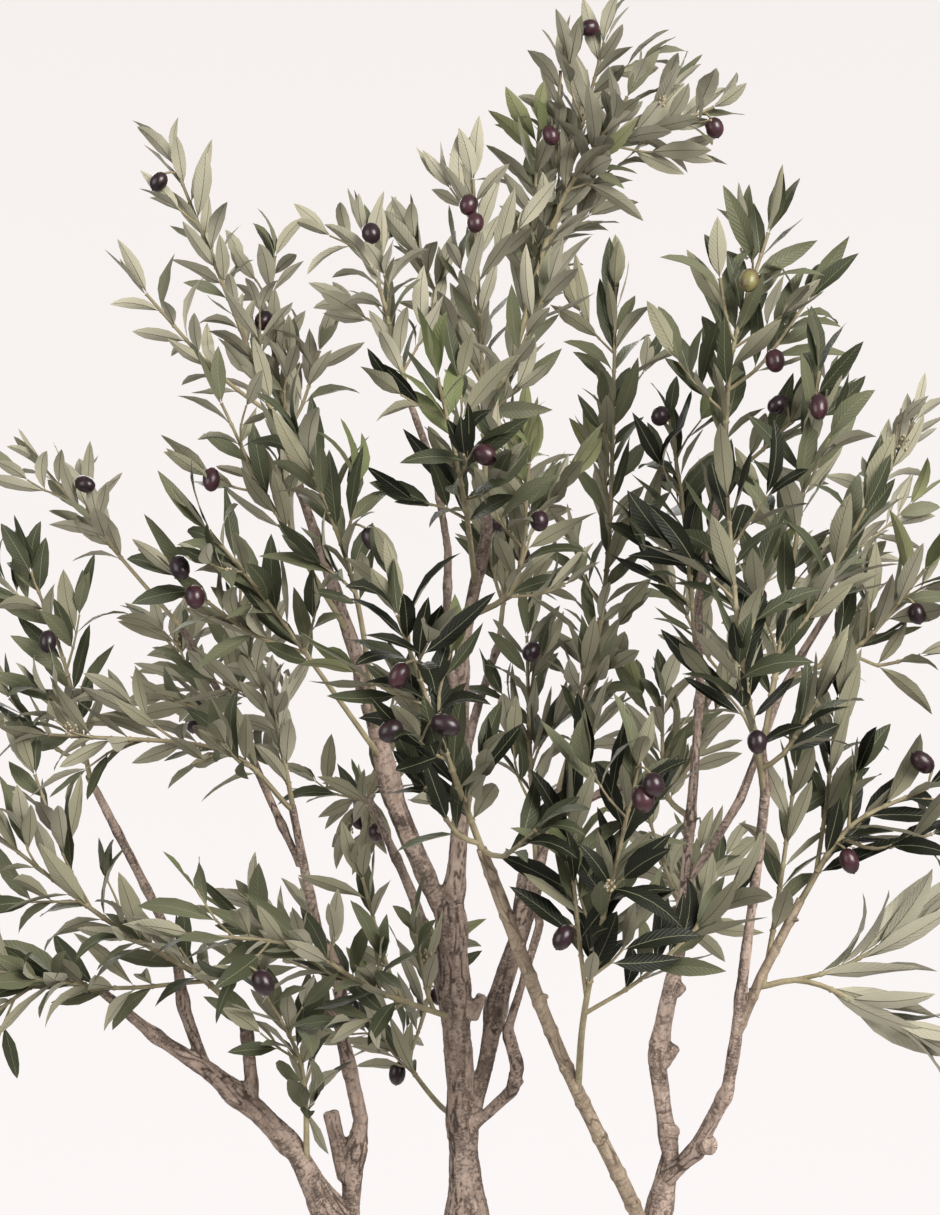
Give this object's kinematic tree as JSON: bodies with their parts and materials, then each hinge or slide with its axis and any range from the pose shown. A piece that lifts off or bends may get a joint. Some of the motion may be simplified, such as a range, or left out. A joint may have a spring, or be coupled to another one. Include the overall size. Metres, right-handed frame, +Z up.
{
  "type": "potted faux olive tree",
  "caption": "Tall faux olive tree in a plain round planter: forking moulded trunk, slender boughs, sprays of leathery leaves and ripe olives.",
  "frame": {"origin": "middle of the planter's flat underside, on the floor", "axes": "+Z up along the trunk, +X to the right and +Y away from a viewer at the front of the tree"},
  "size_m": [0.9934, 0.8585, 2.1327],
  "materials": {
    "bark": "matte",
    "leaf_dark": "matte",
    "leaf_pale": "matte",
    "planter": "matte",
    "moss_fill": "matte"
  },
  "bodies": {
    "root": {"back_mid": "bark", "back_right": "bark", "centre_right": "bark", "far_right": "bark", "fill": "moss_fill", "foliage_back_far_left": "leaf_pale", "foliage_back_far_right": "leaf_pale", "foliage_back_high": "leaf_pale", "foliage_back_left": "leaf_pale", "foliage_back_low": "leaf_pale", "foliage_back_right": "leaf_pale", "foliage_centre_front": "leaf_dark", "foliage_centre_left_front": "leaf_dark", "foliage_centre_mid": "leaf_pale", "foliage_centre_tall": "leaf_pale", "foliage_centre_up_front": "leaf_dark", "foliage_centre_up_right": "leaf_dark", "foliage_crown_top": "leaf_pale", "foliage_crown_top_right": "leaf_pale", "foliage_far_left_front": "leaf_dark", "foliage_far_left_high": "leaf_pale", "foliage_far_right": "leaf_dark", "foliage_far_right_high": "leaf_pale", "foliage_far_right_low": "leaf_dark", "foliage_front_right": "leaf_dark", "foliage_inner_low": "leaf_pale", "foliage_inner_right": "leaf_pale", "foliage_left_arm": "leaf_dark", "foliage_left_low": "leaf_dark", "foliage_left_low_fan": "leaf_dark", "foliage_left_mid": "leaf_dark", "foliage_left_up": "leaf_dark", "foliage_low_front": "leaf_dark", "foliage_low_left": "leaf_dark", "foliage_low_right_hang": "leaf_dark", "foliage_mid_left": "leaf_pale", "foliage_right_front_low": "leaf_dark", "foliage_right_front_up": "leaf_dark", "foliage_right_shoulder": "leaf_pale", "foliage_right_top": "leaf_dark", "foliage_up_left": "leaf_pale", "foliage_up_left_inner": "leaf_pale", "foliage_up_mid": "leaf_dark", "foliage_up_mid_left": "leaf_dark", "front_stem": "bark", "knee_branch": "bark", "leader": "bark", "leader_left": "bark", "left_back": "bark", "left_branch": "bark", "left_fork": "bark", "left_limb": "bark", "left_upper": "bark", "planter": "planter", "right_arm": "bark", "right_front": "bark", "right_limb": "bark", "second_stem": "bark", "socket_stub": "bark", "trunk": "bark"}
  },
  "joints": []
}
